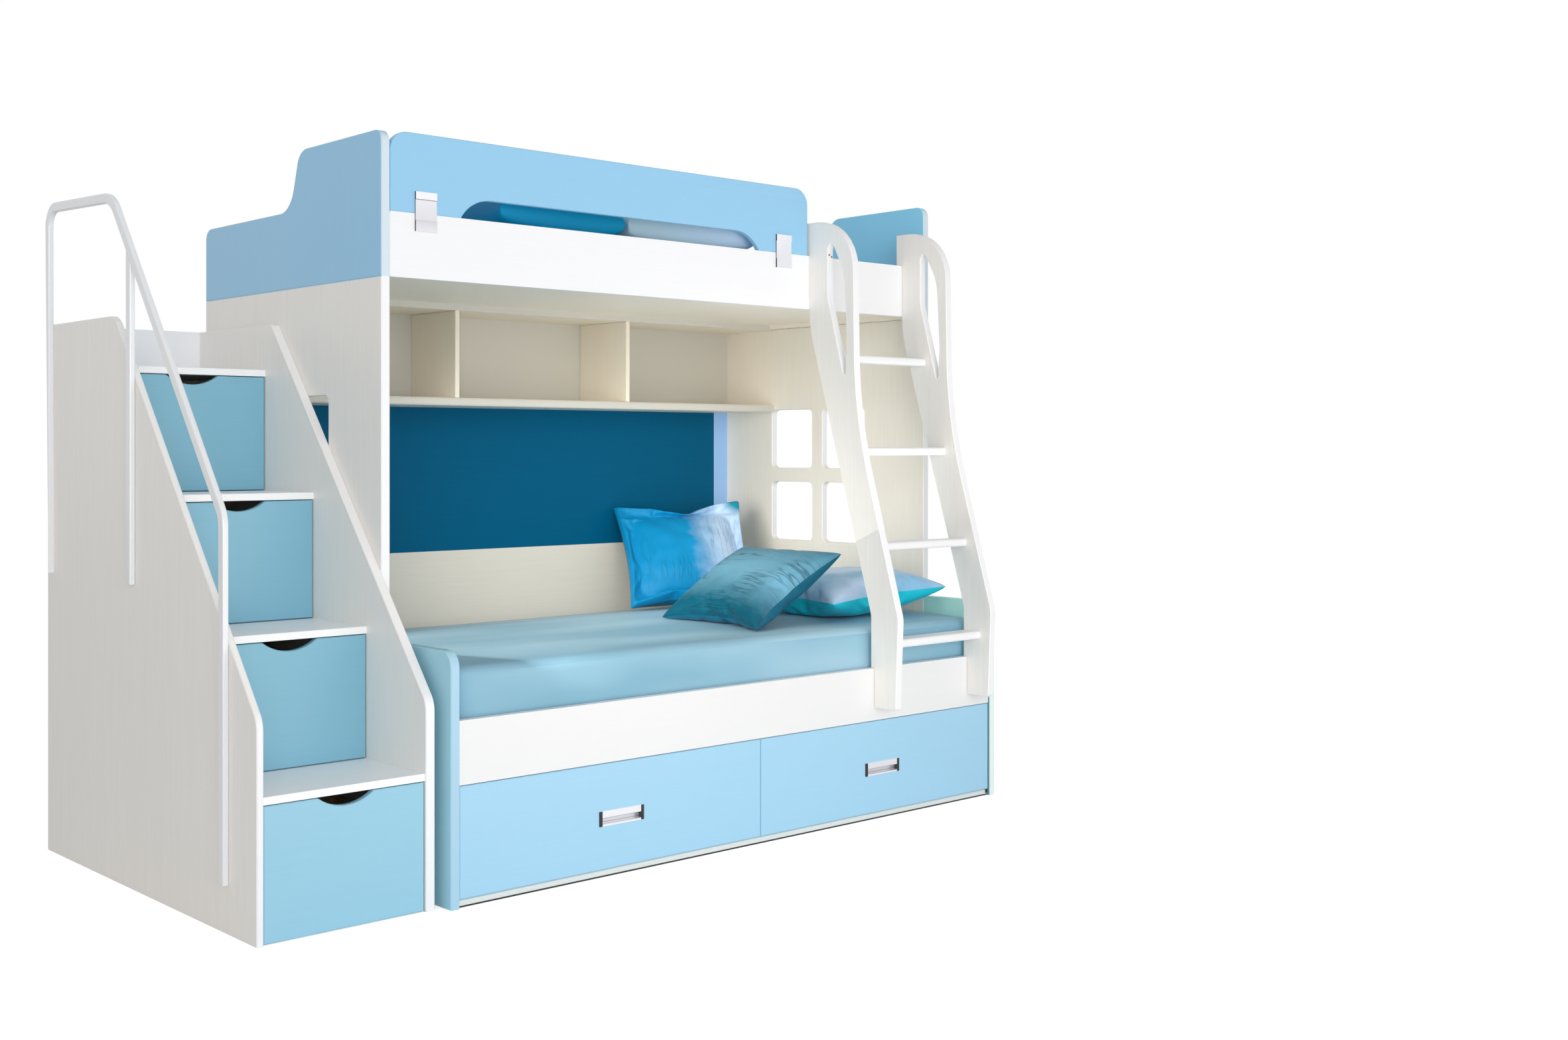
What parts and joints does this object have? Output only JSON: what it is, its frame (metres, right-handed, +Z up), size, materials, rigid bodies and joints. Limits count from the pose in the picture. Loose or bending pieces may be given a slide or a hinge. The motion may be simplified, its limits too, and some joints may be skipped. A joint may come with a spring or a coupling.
{
  "type": "bunk bed",
  "caption": "Bunk bed for a child's room: stair cabinet with drawers and handrail, shelf unit under the upper bunk, hooked ladder and drawers under the wide lower bunk.",
  "frame": {"origin": "on the floor, under the middle of the bed's box", "axes": "+X along the bed from the stair cabinet to the head end, +Y from the open front to the wall side, +Z up"},
  "size_m": [2.424, 1.3454, 1.848],
  "materials": {
    "white_board": "melamine faced board, satin white with a very fine upright grain",
    "cream_board": "melamine faced board, satin cream",
    "sky_board": "painted board, satin light blue",
    "pale_sky_board": "painted board, satin pale blue",
    "deep_blue_board": "painted board, satin deep blue",
    "white_tube": "powder coated flat steel tube, semi gloss white",
    "chrome_metal": "polished, lightly brushed",
    "birch_ply": "clear lacquered birch plywood",
    "sheet_teal": "satin weave cotton sheet, teal blue",
    "pillow_turquoise": "satin weave cover, turquoise",
    "pillow_teal": "satin weave cover, teal",
    "pillow_lavender": "satin weave cover, lavender blue"
  },
  "bodies": {
    "bed_frame": {"stair_outer_side": "white_board", "stair_inner_side": "white_board", "stair_back_panel": "white_board", "stair_tread_1": "white_board", "stair_tread_2": "white_board", "stair_tread_3": "white_board", "stair_tread_4": "white_board", "handrail_tube": "white_tube", "handrail_mid_post": "white_tube", "left_end_lower": "white_board", "right_end_lower": "white_board", "left_end_upper": "sky_board", "right_end_upper": "sky_board", "foot_panel": "sky_board", "head_wing": "sky_board", "guard_panel": "sky_board", "upper_front_rail": "white_board", "upper_rear_rail": "white_board", "lower_front_rail": "white_board", "lower_back_rail": "white_board", "drawer_divider": "white_board", "plinth_rail": "white_board", "guard_clip_left": "chrome_metal", "guard_clip_right": "chrome_metal", "upper_base_board": "cream_board", "shelf_top_board": "cream_board", "shelf_bottom_board": "cream_board", "shelf_partition_1": "cream_board", "shelf_partition_2": "cream_board", "shelf_back_board": "cream_board", "back_panel": "deep_blue_board", "back_strip": "pale_sky_board", "upper_mattress": "sheet_teal", "lower_mattress": "sheet_teal", "lower_slat_base": "birch_ply", "ladder_stile_left": "white_board", "ladder_stile_right": "white_board", "ladder_rung_1": "white_board", "ladder_rung_2": "white_board", "ladder_rung_3": "white_board", "ladder_rung_4": "white_board", "pillow_a": "pillow_turquoise", "pillow_b": "pillow_teal", "pillow_c": "pillow_lavender", "upper_pillow_left": "pillow_turquoise", "upper_pillow_right": "pillow_lavender"},
    "stair_drawer_1": {"stair_drawer_front_1": "sky_board", "stair_drawer_tray_1": "birch_ply"},
    "stair_drawer_2": {"stair_drawer_front_2": "sky_board", "stair_drawer_tray_2": "birch_ply"},
    "stair_drawer_3": {"stair_drawer_front_3": "sky_board", "stair_drawer_tray_3": "birch_ply"},
    "stair_drawer_4": {"stair_drawer_front_4": "sky_board", "stair_drawer_tray_4": "birch_ply"},
    "bed_drawer_left": {"bed_drawer_front_left": "sky_board", "bed_drawer_tray_left": "birch_ply", "bed_drawer_pull_left": "chrome_metal"},
    "bed_drawer_right": {"bed_drawer_front_right": "sky_board", "bed_drawer_tray_right": "birch_ply", "bed_drawer_pull_right": "chrome_metal"}
  },
  "joints": [
    {"name": "stair_drawer_1_slide", "type": "slide", "parent": "bed_frame", "child": "stair_drawer_1", "axis": [0, -1, 0], "range_m": [0, 0.3]},
    {"name": "stair_drawer_2_slide", "type": "slide", "parent": "bed_frame", "child": "stair_drawer_2", "axis": [0, -1, 0], "range_m": [0, 0.3]},
    {"name": "stair_drawer_3_slide", "type": "slide", "parent": "bed_frame", "child": "stair_drawer_3", "axis": [0, -1, 0], "range_m": [0, 0.3]},
    {"name": "stair_drawer_4_slide", "type": "slide", "parent": "bed_frame", "child": "stair_drawer_4", "axis": [0, -1, 0], "range_m": [0, 0.3]},
    {"name": "bed_drawer_left_slide", "type": "slide", "parent": "bed_frame", "child": "bed_drawer_left", "axis": [0, -1, 0], "range_m": [0, 0.48]},
    {"name": "bed_drawer_right_slide", "type": "slide", "parent": "bed_frame", "child": "bed_drawer_right", "axis": [0, -1, 0], "range_m": [0, 0.48]}
  ]
}
